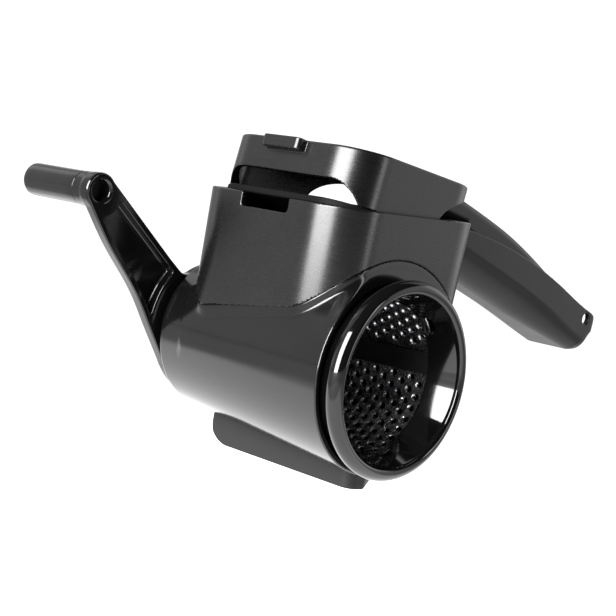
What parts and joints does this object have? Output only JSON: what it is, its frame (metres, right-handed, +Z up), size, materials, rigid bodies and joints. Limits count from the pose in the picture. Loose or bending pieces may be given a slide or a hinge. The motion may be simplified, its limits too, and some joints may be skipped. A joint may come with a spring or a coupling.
{
  "type": "rotary cheese grater",
  "caption": "Hand-held rotary cheese grater: hopper with lever-pressed pusher over a crank-turned perforated drum that slides out of a tapered barrel.",
  "frame": {"origin": "on the foot's resting face, straight under the drum's axis", "axes": "+Z up from the foot's face; +Y along the drum's axis towards the crank, so the drum's open end is at -Y; +X along the handle from hopper to tip"},
  "size_m": [0.2291, 0.1326, 0.1108],
  "materials": {
    "body_black": "satin moulded black plastic",
    "foot_black": "matte black plastic",
    "gloss_black": "high-gloss black plastic",
    "knob_black": "semi-gloss black plastic",
    "steel_sheet": "punched stainless sheet",
    "steel_hardware": "turned stainless",
    "shaft_plastic": "dark grey moulded plastic",
    "bush_plastic": "natural bearing plastic"
  },
  "bodies": {
    "housing": {"barrel_housing": "body_black", "hopper": "body_black", "lower_handle": "body_black", "stand_foot": "foot_black", "rear_bush": "bush_plastic", "foot_screws": "steel_hardware", "hinge_pin": "steel_hardware"},
    "lever": {"press_lever": "body_black", "pusher_shell": "body_black", "presser_plate": "body_black", "pusher_screws": "steel_hardware"},
    "crank": {"crank_arm": "gloss_black", "drive_shaft": "shaft_plastic", "shaft_screw": "steel_hardware", "thrust_washer": "steel_hardware", "knob_spindle": "steel_hardware"},
    "drum": {"drum_ring": "gloss_black", "drum_cage": "body_black", "grating_sleeve": "steel_sheet"},
    "knob": {"knob_grip": "knob_black", "knob_cap": "knob_black"}
  },
  "joints": [
    {"name": "lever_hinge", "type": "hinge", "parent": "housing", "child": "lever", "pos_m": [0.1357, -0.003, 0.0715], "axis": [0, 1, 0], "range_deg": [-7, 70]},
    {"name": "crank_spin", "type": "hinge", "parent": "housing", "child": "crank", "pos_m": [0, 0.05, 0.0391], "axis": [0, 1, 0], "continuous": true},
    {"name": "drum_slide", "type": "slide", "parent": "crank", "child": "drum", "axis": [0, -1, 0], "range_m": [0, 0.09]},
    {"name": "knob_spin", "type": "hinge", "parent": "crank", "child": "knob", "pos_m": [-0.0626, 0.07, 0.0814], "axis": [0, 1, 0], "continuous": true}
  ]
}
